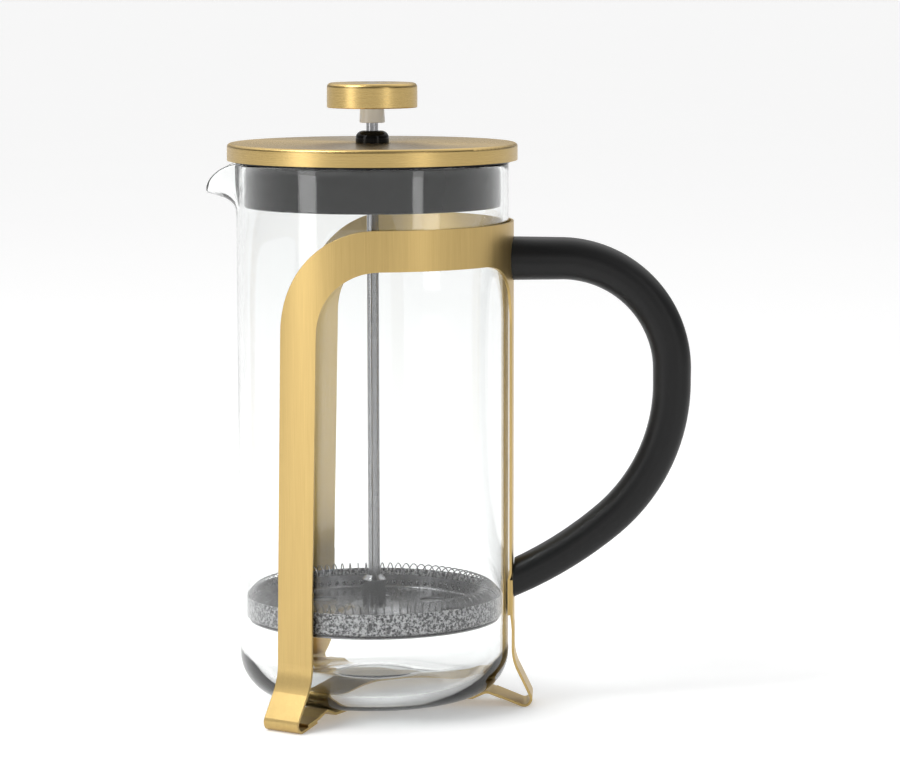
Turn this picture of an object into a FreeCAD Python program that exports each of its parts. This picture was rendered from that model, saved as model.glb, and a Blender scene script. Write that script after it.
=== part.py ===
"""French press: a glass beaker in a three-legged sheet-metal frame, with a lid, a plunger and a filter.

Millimetres. The origin is on the beaker's axis at the level of the feet. +Z is up, the handle points
along +X and the pouring spout along -X. Every driving dimension is a cell of the sheet "dim".
"""

import FreeCAD, Part
import math
import os

import Sketcher

V = FreeCAD.Vector
Z_AXIS = V(0, 0, 1)

SIZES = [
    # Glass beaker
    ("glass_r", 48.0, "outer radius of the glass"),
    ("glass_wall", 2.0, "thickness of the glass wall"),
    ("glass_low", 4.2, "underside of the glass above the floor"),
    ("glass_base", 4.0, "thickness of the glass bottom"),
    ("glass_corner", 15.0, "outer radius between bottom and wall"),
    ("punt", 2.7, "how far the middle of the bottom is raised"),
    ("punt_flat_r", 14.0, "radius of the raised middle"),
    ("punt_foot_r", 32.0, "radius where the bottom starts to rise"),
    ("glass_top", 193.8, "height of the rim"),
    ("rim_round", 0.9, "rounding of the rim"),
    ("spout_half", 17.0, "half the angle that the spout takes of the rim, degrees"),
    ("spout_bend", 72.5, "how far the middle of the spout is folded out, degrees"),
    ("spout_fold_r", 5.0, "radius of the fold at mid wall"),
    ("spout_fold_z", 176.7, "height where the fold starts"),
    ("spout_below", 3.0, "length of straight wall under the fold that belongs to the spout"),
    ("spout_trim", 2.3, "how much shorter the wall is at the tip of the spout"),
    # Frame sheet
    ("sheet", 0.9, "thickness of the frame's sheet"),
    ("strap", 14.2, "width of the straps"),
    ("band_in", 48.9, "inner radius of the band"),
    ("band_low", 159.0, "lower edge of the band"),
    ("band_high", 173.1, "upper edge of the band"),
    ("leg_turn", -120.0, "azimuth of a front leg, degrees"),
    ("corner_turn", -104.6, "azimuth from which a front corner is cut, degrees"),
    ("corner_near", -3.66, "inner edge of the front leg, measured along that cut"),
    ("corner_far", -17.5, "outer edge of the front leg, measured along that cut"),
    ("leg_slant", 2.5, "how far a front leg drifts towards the spout on its way down"),
    ("corner_r", 22.2, "inner radius of a front corner"),
    ("corner_over", 0.1, "how far that corner's outer curve would run past the band's edge"),
    ("tee_r", 22.0, "radius where the band runs into the rear strap"),
    ("flat_high", 28.0, "height below which the legs are flat, after flattening from the joggle down"),
    ("joggle_high", 48.0, "top of the joggle in the rear strap"),
    ("joggle_low", 46.0, "bottom of the joggle in the rear strap"),
    ("window_half", 45.0, "half the width cut open under the band, seen from the handle"),
    ("window_reach", 34.2, "how far the opening beside a front leg is cut towards the handle"),
    ("overlap", 1.0, "how far cuts and joined stretches run past each other"),
    ("joggle_in", 0.6, "how far the rear strap steps in"),
    ("tail_low", 33.1, "lower end of the rear strap"),
    ("lap_high", 45.8, "top of the rear leg, lapped outside the strap"),
    ("lap_gap", 0.05, "gap between lapped sheets"),
    # Legs and base
    ("knee_z", 17.0, "height where a leg turns outwards"),
    ("knee_r", 18.0, "radius of that turn"),
    ("front_reach", 61.1, "radius at which a front leg and its tab would meet, at mid sheet"),
    ("front_meet", -0.7361, "height of that point, which sets the bend on the floor"),
    ("rear_reach", 58.8, "radius at which the rear leg and its arm would meet, at mid sheet"),
    ("rear_meet", -1.8005, "height of that point, which sets the bend on the floor"),
    ("foot_r", 2.5, "radius of the bend at the foot, at mid sheet"),
    ("tab_end", 43.5, "radius where the arms start, inside the edge of the disc"),
    ("tab_in", 46.5, "inner end of the tab under a front arm"),
    ("arm_end", 52.0, "outer end of a front arm"),
    ("dome_z", 5.9, "height of the base's raised middle, at mid sheet"),
    ("dome_flat_r", 14.0, "radius of the raised middle"),
    ("dome_foot_r", 30.0, "radius where the base has come down from it"),
    ("star_mid", 3.15, "height of the base round the raised middle, at mid sheet"),
    ("star_flat_r", 36.0, "radius where the base rises towards the ridge"),
    ("ridge_r", 41.0, "radius of the ridge that cradles the glass"),
    ("ridge_z", 5.4, "height of the ridge, at mid sheet"),
    ("ridge_round", 3.0, "radius over the ridge"),
    ("star_r", 46.0, "radius where the arms leave the base's disc"),
    ("tab_slope", 0.2082, "fall of a front arm and the tab under it, per unit of radius"),
    ("notch_r", 30.0, "radius at the root between two arms"),
    ("bead_r", 8.5, "radius of the ring pressed into the middle"),
    ("bead_thick", 0.6, "radius of that ring's section"),
    ("bead_rise", 0.2, "centre of that section above mid sheet"),
    # Handle and its fasteners
    ("grip_start", 46.0, "radius where the handle's path starts and ends"),
    ("grip_top", 159.8, "height of the handle's upper run"),
    ("grip_out", 105.7, "radius of the handle's outer run"),
    ("grip_elbow_r", 39.2, "radius of the upper bend"),
    ("grip_turn", 85.5, "height where the outer run turns back"),
    ("grip_turn_r", 64.0, "radius of that turn"),
    ("grip_low_x", 66.9, "radius where the lower run flattens"),
    ("grip_low_z", 53.0, "height where the lower run flattens"),
    ("grip_low_r", 138.0, "radius of that bend"),
    ("grip_end", 43.9, "height of the handle's lower end"),
    ("grip_waist", 115.8, "height of the middle section"),
    ("grip_gap", 0.03, "gap between the handle's ends and the metal"),
    ("upper_screw", 159.8, "height of the upper screw"),
    ("lower_screw", 43.0, "height of the lower screw"),
    ("head_sink", 0.15, "how far a screw head lies below the inner face of the sheet"),
    ("head_rim", 0.2, "straight rim of a countersunk head"),
    ("seat_gap", 0.1, "gap round a screw in its seat"),
    ("upper_head", 3.75, "head radius, M4"),
    ("upper_thread", 2.0, "thread radius, M4"),
    ("upper_insert", 2.9, "radius of the upper insert"),
    ("upper_length", 11.5, "length of the upper screw"),
    ("lower_head", 2.75, "head radius, M3"),
    ("lower_thread", 1.5, "thread radius, M3"),
    ("lower_insert", 2.1, "radius of the lower insert"),
    ("lower_length", 6.6, "length of the lower screw"),
    ("key_share", 0.4, "hexagon socket radius over head radius"),
    ("tip_bevel", 0.4, "bevel at the end of a screw or rod"),
    ("thread_gap", 0.02, "gap between threads drawn as plain cylinders"),
    ("upper_insert_x", 52.2, "inner end of the upper insert"),
    ("upper_depth", 8.0, "length of the upper insert"),
    ("lower_insert_x", 50.8, "inner end of the lower insert"),
    ("lower_depth", 4.2, "length of the lower insert"),
    ("insert_groove", 0.3, "depth of the groove round an insert"),
    ("groove_from", 0.4, "start of that groove, over the insert's length"),
    ("groove_to", 0.6, "end of that groove, over the insert's length"),
    ("top_thick", 15.1, "thickness of the handle at the top, in its own plane"),
    ("top_wide", 17.6, "width of the handle at the top, across its plane"),
    ("waist_thick", 13.3, "thickness of the handle at the side"),
    ("waist_wide", 15.6, "width of the handle at the side"),
    ("end_thick", 12.2, "thickness of the handle at its lower end"),
    ("end_wide", 14.4, "width of the handle at its lower end"),
    ("grip_round", 0.43, "corner radius of the handle's section over its thickness"),
    # Lid
    ("lid_r", 51.1, "outer radius of the lid"),
    ("lid_low", 194.5, "lower edge of the lid"),
    ("lid_top", 200.5, "top of the lid"),
    ("lid_sheet", 0.8, "thickness of the lid's metal"),
    ("lid_round", 1.3, "rounding of the lid's upper edge"),
    ("sleeve_r", 45.2, "outer radius of the inner sleeve"),
    ("sleeve_wall", 1.8, "wall of the sleeve"),
    ("sleeve_round", 0.7, "rounding of the sleeve's lower edge"),
    ("sleeve_low", 178.3, "lower end of the sleeve"),
    ("seat_z", 193.9, "face of the insert that rests on the rim"),
    ("seat_r", 49.0, "outer radius of that face"),
    ("plate_thick", 2.0, "thickness of the insert's plate"),
    ("dome_r", 5.9, "radius of the bushing's dome"),
    ("dome_top", 204.7, "top of the dome"),
    ("stem_r", 3.2, "radius of the bushing's stem"),
    ("stem_low", 193.4, "lower end of the stem"),
    ("guide_gap", 0.05, "radial gap between rod and bushing"),
    ("nut_r", 6.0, "corner radius of the nut"),
    ("nut_thick", 3.0, "thickness of the nut"),
    # Plunger
    ("rod_r", 2.1, "radius of the rod"),
    ("rod_top", 217.3, "upper end of the rod"),
    ("rod_thread", 1.95, "thread radius at both ends, M4"),
    ("rod_end", 30.4, "lower end of the rod"),
    ("hub_r", 4.2, "radius of the hub"),
    ("hub_low", 36.05, "underside of the hub"),
    ("hub_top", 46.5, "top of the hub"),
    ("hub_bevel", 1.6, "bevel at the top of the hub"),
    ("knob_r", 15.9, "radius of the knob"),
    ("knob_low", 212.8, "underside of the knob"),
    ("knob_top", 221.5, "top of the knob"),
    ("knob_sheet", 0.7, "thickness of the knob's metal cap"),
    ("knob_round", 1.6, "rounding of the cap's upper edge"),
    ("collar_low", 207.5, "lower end of the white collar"),
    ("collar_r", 4.5, "radius of the collar at its lower end"),
    ("collar_neck", 4.15, "radius of the collar under the knob"),
    # Filter
    ("plate_sheet", 0.7, "thickness of the filter's plates"),
    ("plate_edge", 0.3, "rounding of a plate's edge"),
    ("press_bend", 1.0, "radius of the bends round the raised middle"),
    ("press_shift", 0.2, "how far the underside of the slope there stands off sideways"),
    ("rim_bend", 1.5, "outer radius where the plate turns up into its rim"),
    ("spiral_r", 43.0, "outer radius of the spiral plate"),
    ("spiral_low", 33.1, "underside of the spiral plate"),
    ("spiral_high", 38.6, "top of its rim"),
    ("hump_r", 8.5, "radius of the raised middle"),
    ("hump_foot", 13.0, "radius where the raised middle starts"),
    ("drain_r", 4.5, "radius of a drain hole in the spiral plate"),
    ("drain_at", 28.0, "radius of the circle of drain holes"),
    ("rim_hole_r", 0.9, "radius of a hole in the rim"),
    ("rim_hole_z", 35.8, "height of the holes in the rim"),
    ("coil_at", 40.9, "radius of the spring's centre line"),
    ("coil_z", 39.3, "height of the spring's centre line"),
    ("coil_r", 3.9, "radius of one turn, at mid wire"),
    ("wire_r", 0.22, "radius of the spring wire"),
    ("mesh_r", 45.5, "outer radius of the mesh"),
    ("mesh_thick", 0.25, "thickness of the mesh"),
    ("mesh_bend", 1.2, "outer radius where the mesh turns up"),
    ("mesh_clear", 0.3, "gap between the mesh and the boss"),
    ("mesh_low", 32.75, "underside of the mesh"),
    ("mesh_high", 40.6, "top of its turned-up edge"),
    ("cross_r", 44.6, "radius of the cross plate"),
    ("cross_low", 31.7, "underside of the cross plate"),
    ("cross_hole_r", 7.5, "radius of an opening in the cross plate"),
    ("cross_hole_at", 26.0, "radius of the circle of openings"),
    ("boss_r", 4.6, "radius of the threaded boss"),
    ("boss_top", 35.0, "top of the boss"),
    ("boss_low", 30.7, "underside of the boss"),
]

RIM_HOLES = 86
DRAIN_HOLES = 8
CROSS_HOLES = 6
LIP_SECTIONS = 13
LIP_STEPS = 12


def sheet_of_sizes(doc):
    """Fills the sheet: a name, a value with an alias, and what it measures."""
    sheet = doc.addObject("Spreadsheet::Sheet", "dim")
    for row, (alias, value, meaning) in enumerate(SIZES, start=1):
        sheet.set(f"A{row}", meaning)
        sheet.set(f"B{row}", str(value))
        sheet.setAlias(f"B{row}", alias)
    doc.recompute()
    return sheet


doc = FreeCAD.newDocument("french_press")
dim = sheet_of_sizes(doc)


def size(text):
    """The number that an expression of sheet cells has now."""
    return float(dim.evalExpression(text))


def new_body(label):
    body = doc.addObject("PartDesign::Body", label)
    body.Label = label
    return body


def origin_plane(body, role):
    return next(plane for plane in body.Origin.OriginFeatures if plane.Role == role)


def new_sketch(body, name, role="XZ_Plane", turn=None, lift=None):
    """A sketch on one of the body's own planes, turned about Z or lifted along the plane's normal.

    On XZ_Plane the sketch's x is the radius and its y the height.
    """
    sketch = body.newObject("Sketcher::SketchObject", name)
    sketch.AttachmentSupport = [(origin_plane(body, role), "")]
    sketch.MapMode = "FlatFace"
    if turn:
        upright = Z_AXIS if role == "XY_Plane" else V(0, 1, 0)
        rotation = FreeCAD.Rotation(upright, size(turn))
        sketch.AttachmentOffset = FreeCAD.Placement(V(), rotation)
        sketch.setExpression("AttachmentOffset.Rotation.Angle", turn)
    if lift:
        along = "y" if role == "XZ_Plane" else "z"
        sketch.setExpression(f"AttachmentOffset.Base.{along}", lift)
    return sketch


def bind(sketch, text, *constraint):
    """Adds a constraint whose value is an expression of sheet cells."""
    index = sketch.addConstraint(Sketcher.Constraint(*constraint, size(text)))
    sketch.setExpression(f"Constraints[{index}]", text)


def outline(sketch, corners, closed=True):
    """Joins the corners (x, y) with lines, and rounds a corner given as (x, y, radius)."""
    spots = [V(size(corner[0]), size(corner[1]), 0) for corner in corners]
    count = len(corners)
    runs = count if closed else count - 1
    lines = []
    for i in range(runs):
        line = Part.LineSegment(spots[i], spots[(i + 1) % count])
        lines.append(sketch.addGeometry(line))
    for i in range(runs if closed else runs - 1):
        follower = lines[(i + 1) % runs]
        sketch.addConstraint(Sketcher.Constraint("Coincident", lines[i], 2, follower, 1))
    for i, corner in enumerate(corners):
        line, end = (lines[i], 1) if i < runs else (lines[-1], 2)
        bind(sketch, corner[0], "DistanceX", -1, 1, line, end)
        bind(sketch, corner[1], "DistanceY", -1, 1, line, end)
    for i, corner in enumerate(corners):
        if len(corner) == 3:
            sketch.fillet(lines[i], 1, size(corner[2]), True, True)
            arcs = [k for k, item in enumerate(sketch.Geometry) if isinstance(item, Part.ArcOfCircle)]
            bind(sketch, corner[2], "Radius", arcs[-1])


def circle(sketch, radius, x="0", y="0"):
    ring = sketch.addGeometry(Part.Circle(V(size(x), size(y), 0), Z_AXIS, size(radius)))
    bind(sketch, radius, "Radius", ring)
    bind(sketch, x, "DistanceX", -1, 1, ring, 3)
    bind(sketch, y, "DistanceY", -1, 1, ring, 3)


def feature(body, kind, name, profile, **settings):
    """Adds a PartDesign feature; a text setting is bound to the sheet."""
    made = body.newObject("PartDesign::" + kind, name)
    made.Refine = False
    made.FuzzyTolerance = 0
    made.Profile = profile
    for key, value in settings.items():
        if isinstance(value, str) and value.startswith("dim:"):
            made.setExpression(key, value[4:])
        else:
            setattr(made, key, value)
    return made


def revolve(body, name, corners, angle=360.0, turn=None):
    """Turns an outline of (radius, height) corners about Z."""
    section = new_sketch(body, name + "_section", turn=turn)
    outline(section, corners)
    return feature(
        body, "Revolution", name, section,
        ReferenceAxis=(section, ["V_Axis"]), Angle=angle, Midplane=angle < 360.0,
    )


def mirror(body, name, originals):
    """Repeats features on the other side of the XZ plane."""
    doc.recompute()
    copy = body.newObject("PartDesign::Mirrored", name)
    copy.Refine = False
    copy.FuzzyTolerance = 0
    copy.Originals = originals
    copy.MirrorPlane = (origin_plane(body, "XZ_Plane"), [""])
    body.Tip = copy
    return copy


# ---------------------------------------------------------------- frame

STRAP_MID = "dim.band_in + dim.sheet / 2"
REAR_IN = "dim.band_in - dim.joggle_in + dim.sheet + dim.lap_gap"


def strap_ring(body, name, inner, lift, turn=None):
    """A strap's cross section where it still follows the round glass."""
    sketch = new_sketch(body, name, "XY_Plane", turn=turn, lift=lift)
    half = size("dim.strap / 2")
    arcs, reaches = [], []
    for radius_text in (inner, f"{inner} + dim.sheet"):
        radius = size(radius_text)
        angle = math.asin(half / radius)
        ring = Part.Circle(V(), Z_AXIS, radius)
        arc = sketch.addGeometry(Part.ArcOfCircle(ring, -angle, angle))
        sketch.addConstraint(Sketcher.Constraint("Coincident", arc, 3, -1, 1))
        bind(sketch, radius_text, "Radius", arc)
        bind(sketch, "-dim.strap / 2", "DistanceY", -1, 1, arc, 1)
        bind(sketch, "dim.strap / 2", "DistanceY", -1, 1, arc, 2)
        arcs.append(arc)
        reaches.append(radius * math.cos(angle))
    for side, end in ((-1, 1), (1, 2)):
        points = [V(reach, side * half, 0) for reach in reaches]
        line = sketch.addGeometry(Part.LineSegment(*points))
        sketch.addConstraint(Sketcher.Constraint("Coincident", line, 1, arcs[0], end))
        sketch.addConstraint(Sketcher.Constraint("Coincident", line, 2, arcs[1], end))
    return sketch


def strap_flat(body, name, inner, lift, turn=None):
    """A strap's cross section where it is flat."""
    sketch = new_sketch(body, name, "XY_Plane", turn=turn, lift=lift)
    outer = f"{inner} + dim.sheet"
    outline(sketch, [
        (inner, "-dim.strap / 2"),
        (outer, "-dim.strap / 2"),
        (outer, "dim.strap / 2"),
        (inner, "dim.strap / 2"),
    ])
    return sketch


def leg_path(body, name, mid, meet, inner_end, turn=None):
    """The middle of a leg's sheet: down, out to the floor, round the bend and back up under the glass."""
    path = new_sketch(body, name, turn=turn)
    outline(path, [
        (mid, "dim.flat_high"),
        (mid, "dim.knee_z", "dim.knee_r"),
        (*meet, "dim.foot_r"),
        inner_end,
    ], closed=False)
    return path


def leg(body, inner, rings, meet, inner_end, turn=None):
    """A strap that leaves the round of the glass, flattens, flares and folds under at the foot."""
    path = leg_path(body, "leg_path", f"{inner} + dim.sheet / 2", meet, inner_end, turn)
    start = strap_flat(body, "leg_start", inner, "dim.flat_high", turn)
    foot = feature(body, "AdditivePipe", "leg_foot", start, Spine=path)
    doc.recompute()
    flat = strap_flat(body, "leg_flat", inner, "dim.flat_high", turn)
    rings = [
        strap_ring(body, f"leg_ring_{i}", inner, height, turn) for i, height in enumerate(rings)
    ]
    blend = feature(
        body, "AdditiveLoft", "leg_blend", rings[0], Sections=rings[1:] + [flat], Ruled=True
    )
    return [foot, blend]


HEAD_FACE = {
    "upper": "dim.band_in + dim.head_sink",
    "lower": "dim.band_in - dim.joggle_in + dim.head_sink",
}


def screw_seat(body, name):
    """Cuts the countersink and clearance hole of one handle screw, along X."""
    face = HEAD_FACE[name]
    head = f"dim.{name}_head + dim.seat_gap"
    shank = f"dim.{name}_thread + dim.seat_gap"
    cone = f"{face} + dim.head_rim + dim.{name}_head - dim.{name}_thread"
    section = new_sketch(body, f"{name}_seat_section", lift=f"dim.{name}_screw")
    outline(section, [
        (f"{face} - 3 * dim.overlap", "0"),
        (f"{face} - 3 * dim.overlap", head),
        (f"{face} + dim.head_rim", head),
        (cone, shank),
        (f"{face} + dim.{name}_length + dim.overlap", shank),
        (f"{face} + dim.{name}_length + dim.overlap", "0"),
    ])
    seat = feature(
        body, "Groove", f"{name}_seat", section, ReferenceAxis=(section, ["H_Axis"]), Angle=360.0
    )
    doc.recompute()
    return seat


def frame_band():
    """One sheet: a band round the glass, two front legs with tabs, and a short rear strap."""
    body = new_body("frame_band")
    outer = "dim.band_in + dim.sheet"
    tail_in = "dim.band_in - dim.joggle_in"
    revolve(body, "band_wall", [
        ("dim.band_in", "dim.joggle_high"),
        (outer, "dim.joggle_high"),
        (outer, "dim.band_high"),
        ("dim.band_in", "dim.band_high"),
    ])
    revolve(body, "tail_wall", [
        ("dim.band_in", "dim.joggle_high + dim.overlap"),
        ("dim.band_in", "dim.joggle_high"),
        (tail_in, "dim.joggle_low"),
        (tail_in, "dim.tail_low"),
        (f"{tail_in} + dim.sheet", "dim.tail_low"),
        (f"{tail_in} + dim.sheet", "dim.joggle_low"),
        (outer, "dim.joggle_high"),
        (outer, "dim.joggle_high + dim.overlap"),
    ], angle=30.0)
    rear = new_sketch(body, "rear_window", "YZ_Plane")
    side = "dim.strap / 2"
    reach = "dim.window_half"
    outline(rear, [
        (f"-{reach}", "dim.band_low"),
        (f"-{side}", "dim.band_low", "dim.tee_r"),
        (f"-{side}", "dim.tail_low - dim.overlap"),
        (side, "dim.tail_low - dim.overlap"),
        (side, "dim.band_low", "dim.tee_r"),
        (reach, "dim.band_low"),
        (reach, "dim.tail_low - 2 * dim.overlap"),
        (f"-{reach}", "dim.tail_low - 2 * dim.overlap"),
    ])
    feature(body, "Pocket", "rear_cut", rear, Type="ThroughAll", Reversed=True)
    inner = new_sketch(body, "front_window", turn="dim.corner_turn + 90")
    outline(inner, [
        ("dim.corner_near - dim.leg_slant", "dim.joggle_high - dim.overlap"),
        ("dim.corner_near", "dim.band_low", "dim.corner_r"),
        ("dim.window_reach", "dim.band_low"),
        ("dim.window_reach", "dim.joggle_high - dim.overlap"),
    ])
    near = feature(body, "Pocket", "front_cut", inner, Type="ThroughAll", Reversed=True)
    doc.recompute()
    beyond = new_sketch(body, "open_front", turn="dim.corner_turn + 90")
    end = "dim.corner_far + dim.corner_r + dim.strap + dim.overlap"
    outline(beyond, [
        ("-dim.band_in - dim.strap", "dim.joggle_high - dim.overlap"),
        ("dim.corner_far - dim.leg_slant", "dim.joggle_high - dim.overlap"),
        ("dim.corner_far", "dim.band_high + dim.corner_over", "dim.corner_r + dim.strap"),
        (end, "dim.band_high + dim.corner_over"),
        (end, "dim.band_high + dim.overlap"),
        ("-dim.band_in - dim.strap", "dim.band_high + dim.overlap"),
    ])
    far = feature(body, "Pocket", "open_cut", beyond, Type="ThroughAll", Reversed=True)
    doc.recompute()
    tab_z = "dim.front_meet + dim.tab_slope * (dim.front_reach - dim.tab_in)"
    lower = leg(
        body, "dim.band_in", ["dim.joggle_high"],
        ("dim.front_reach", "dim.front_meet"), ("dim.tab_in", tab_z), "dim.leg_turn",
    )
    mirror(body, "other_side", [near, far] + lower)
    doc.recompute()
    for name in ("upper", "lower"):
        screw_seat(body, name)
    return body


def frame_base():
    """One sheet: a three-armed star under the glass, whose rear arm turns up into the rear leg."""
    body = new_body("frame_base")
    half = "dim.sheet / 2"

    ramp = "(dim.ridge_z - dim.rear_meet) / (dim.rear_reach - dim.ridge_r)"

    def ramp_z(radius):
        return f"(dim.ridge_z - {ramp} * ({radius} - dim.ridge_r))"

    revolve(body, "star_disc", [
        ("0", f"dim.dome_z - {half}"),
        ("dim.dome_flat_r", f"dim.dome_z - {half}"),
        ("dim.dome_foot_r", f"dim.star_mid - {half}"),
        ("dim.star_flat_r", f"dim.star_mid - {half}"),
        ("dim.ridge_r", f"dim.ridge_z - {half}", "dim.ridge_round"),
        ("dim.star_r", f"{ramp_z('dim.star_r')} - {half}"),
        ("dim.star_r", f"{ramp_z('dim.star_r')} + {half}"),
        ("dim.ridge_r", f"dim.ridge_z + {half}", "dim.ridge_round"),
        ("dim.star_flat_r", f"dim.star_mid + {half}"),
        ("dim.dome_foot_r", f"dim.star_mid + {half}"),
        ("dim.dome_flat_r", f"dim.dome_z + {half}"),
        ("0", f"dim.dome_z + {half}"),
    ])
    doc.recompute()
    notches = [
        ("notch_front", "180", "(180 + dim.leg_turn)"),
        ("notch_near", "dim.leg_turn / 2", "(dim.leg_turn / 2)"),
        ("notch_far", "-dim.leg_turn / 2", "(dim.leg_turn / 2)"),
    ]
    reach = "2 * dim.star_r"
    for name, middle, spread in notches:
        sketch = new_sketch(body, name, "XY_Plane", turn=middle)
        root = f"dim.strap / 2 / abs(sin{spread})"
        along = f"{root} + {reach} * cos{spread}"
        across = f"{reach} * abs(sin{spread})"
        outline(sketch, [
            (root, "0", "dim.notch_r"),
            (along, f"-{across}"),
            (along, across),
        ])
        feature(body, "Pocket", name + "_cut", sketch, Type="ThroughAll", Reversed=True)
        doc.recompute()
    bead = body.newObject("PartDesign::AdditiveTorus", "bead")
    bead.setExpression("Radius1", "dim.bead_r")
    bead.setExpression("Radius2", "dim.bead_thick")
    bead.setExpression("Placement.Base.z", "dim.dome_z + dim.bead_rise")
    doc.recompute()
    edge_z = ramp_z("dim.star_r")
    arm_z = f"{edge_z} - dim.tab_slope * (dim.arm_end - dim.star_r)"
    side = new_sketch(body, "arm_side", turn="dim.leg_turn")
    outline(side, [
        ("dim.tab_end", f"{ramp_z('dim.tab_end')} - {half}"),
        ("dim.star_r", f"{edge_z} - {half}"),
        ("dim.arm_end", f"{arm_z} - {half}"),
        ("dim.arm_end", f"{arm_z} + {half}"),
        ("dim.star_r", f"{edge_z} + {half}"),
        ("dim.tab_end", f"{ramp_z('dim.tab_end')} + {half}"),
    ])
    arm = feature(body, "Pad", "arm", side, Midplane=True, Length="dim:dim.strap")
    mirror(body, "other_arm", [arm])
    doc.recompute()
    foot, blend = leg(
        body, REAR_IN, ["dim.lap_high", "dim.tail_low"],
        ("dim.rear_reach", "dim.rear_meet"), ("dim.tab_end", ramp_z("dim.tab_end")),
    )
    body.Tip = blend
    doc.recompute()
    screw_seat(body, "lower")
    return body


# ---------------------------------------------------------------- handle

def handle_grip():
    """A solid D-shaped bar: an oval section that gets slimmer towards its lower end."""
    body = new_body("handle_grip")
    path = new_sketch(body, "grip_path")
    outline(path, [
        ("dim.grip_start", "dim.grip_top"),
        ("dim.grip_out", "dim.grip_top", "dim.grip_elbow_r"),
        ("dim.grip_out", "dim.grip_turn", "dim.grip_turn_r"),
        ("dim.grip_low_x", "dim.grip_low_z", "dim.grip_low_r"),
        ("dim.grip_start", "dim.grip_end"),
    ], closed=False)

    def oval(name, role, middle, upright, thick, wide, lift=None):
        """A rounded section; upright says that the thickness runs along the sketch's y."""
        sketch = new_sketch(body, name, role, lift=lift)
        wide_way, thick_way = f"{wide} / 2", f"{thick} / 2"
        corners = [(-1, -1), (1, -1), (1, 1), (-1, 1)]
        outline(sketch, [
            (f"{x} * ({wide_way})", f"{middle} + {y} * ({thick_way})", f"{thick} * dim.grip_round")
            if upright else
            (f"{middle} + {x} * ({thick_way})", f"{y} * ({wide_way})", f"{thick} * dim.grip_round")
            for x, y in corners
        ])
        return sketch

    start = oval(
        "grip_top_section", "YZ_Plane", "dim.grip_top", True,
        "dim.top_thick", "dim.top_wide", "dim.grip_start",
    )
    waist = oval(
        "grip_waist_section", "XY_Plane", "dim.grip_out", False,
        "dim.waist_thick", "dim.waist_wide", "dim.grip_waist",
    )
    end = oval("grip_end_section", "YZ_Plane", "0", True, "dim.end_thick", "dim.end_wide")
    tilt = "-atan((dim.grip_low_z - dim.grip_end) / (dim.grip_low_x - dim.grip_start))"
    end.AttachmentOffset = FreeCAD.Placement(V(), FreeCAD.Rotation(V(1, 0, 0), size(tilt)))
    end.setExpression("AttachmentOffset.Rotation.Angle", tilt)
    end.setExpression("AttachmentOffset.Base.y", "dim.grip_end")
    end.setExpression("AttachmentOffset.Base.z", "dim.grip_start")
    doc.recompute()
    feature(
        body, "AdditivePipe", "grip_bar", start, Spine=path, Sections=[waist, end],
        Transformation="Multisection",
    )
    doc.recompute()
    seats = [
        ("lower_saddle", f"{REAR_IN} + dim.sheet", "0", "dim.grip_waist / 2"),
        ("upper_saddle", "dim.band_in + dim.sheet", "dim.grip_waist / 2", "dim.glass_top"),
    ]
    for name, radius, low, height in seats:
        saddle = body.newObject("PartDesign::SubtractiveCylinder", name)
        saddle.setExpression("Radius", f"{radius} + dim.grip_gap")
        saddle.setExpression("Height", height)
        saddle.setExpression("Placement.Base.z", low)
        doc.recompute()
    for name in ("upper", "lower"):
        screw_seat(body, name)
        pocket = new_sketch(body, f"{name}_pocket_section", lift=f"dim.{name}_screw")
        outline(pocket, [
            (f"dim.{name}_insert_x", "0"),
            (f"dim.{name}_insert_x", f"dim.{name}_insert"),
            (f"dim.{name}_insert_x + dim.{name}_depth", f"dim.{name}_insert"),
            (f"dim.{name}_insert_x + dim.{name}_depth", "0"),
        ])
        feature(
            body, "Groove", f"{name}_pocket", pocket,
            ReferenceAxis=(pocket, ["H_Axis"]), Angle=360.0,
        )
        doc.recompute()
    return body


def lay_along_x(body, name, start):
    """Turns a body made along Z to point along +X at the height of a handle screw."""
    body.Placement = FreeCAD.Placement(V(), FreeCAD.Rotation(V(0, 1, 0), 90))
    body.setExpression("Placement.Base.x", start)
    body.setExpression("Placement.Base.z", f"dim.{name}_screw")


def handle_screw(name):
    """A countersunk screw with a hexagon socket, put in from inside the band."""
    body = new_body(f"handle_screw_{name}")
    head, thread = f"dim.{name}_head", f"dim.{name}_thread"
    revolve(body, "turned", [
        ("0", "0"),
        (head, "0"),
        (head, "dim.head_rim"),
        (thread, f"dim.head_rim + {head} - {thread}"),
        (thread, f"dim.{name}_length - dim.tip_bevel"),
        (f"{thread} - dim.tip_bevel", f"dim.{name}_length"),
        ("0", f"dim.{name}_length"),
    ])
    doc.recompute()
    key = new_sketch(body, "key", "XY_Plane")
    outline(key, hexagon(f"{head} * dim.key_share"))
    feature(
        body, "Pocket", "socket", key, Reversed=True, Length=f"dim:{head} * dim.key_share"
    )
    lay_along_x(body, name, HEAD_FACE[name])
    return body


def hexagon(radius):
    return [(f"{radius} * cos({60 * i})", f"{radius} * sin({60 * i})") for i in range(6)]


def handle_insert(name):
    """A threaded brass insert moulded into the handle, with a groove that holds it."""
    body = new_body(f"handle_insert_{name}")
    outer, bore = f"dim.{name}_insert", f"dim.{name}_thread + dim.thread_gap"
    depth = f"dim.{name}_depth"
    revolve(body, "turned", [
        (bore, "0"),
        (outer, "0"),
        (outer, f"{depth} * dim.groove_from"),
        (f"{outer} - dim.insert_groove", f"{depth} * dim.groove_from"),
        (f"{outer} - dim.insert_groove", f"{depth} * dim.groove_to"),
        (outer, f"{depth} * dim.groove_to"),
        (outer, depth),
        (bore, depth),
    ])
    lay_along_x(body, name, f"dim.{name}_insert_x")
    return body


# ---------------------------------------------------------------- beaker

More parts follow.
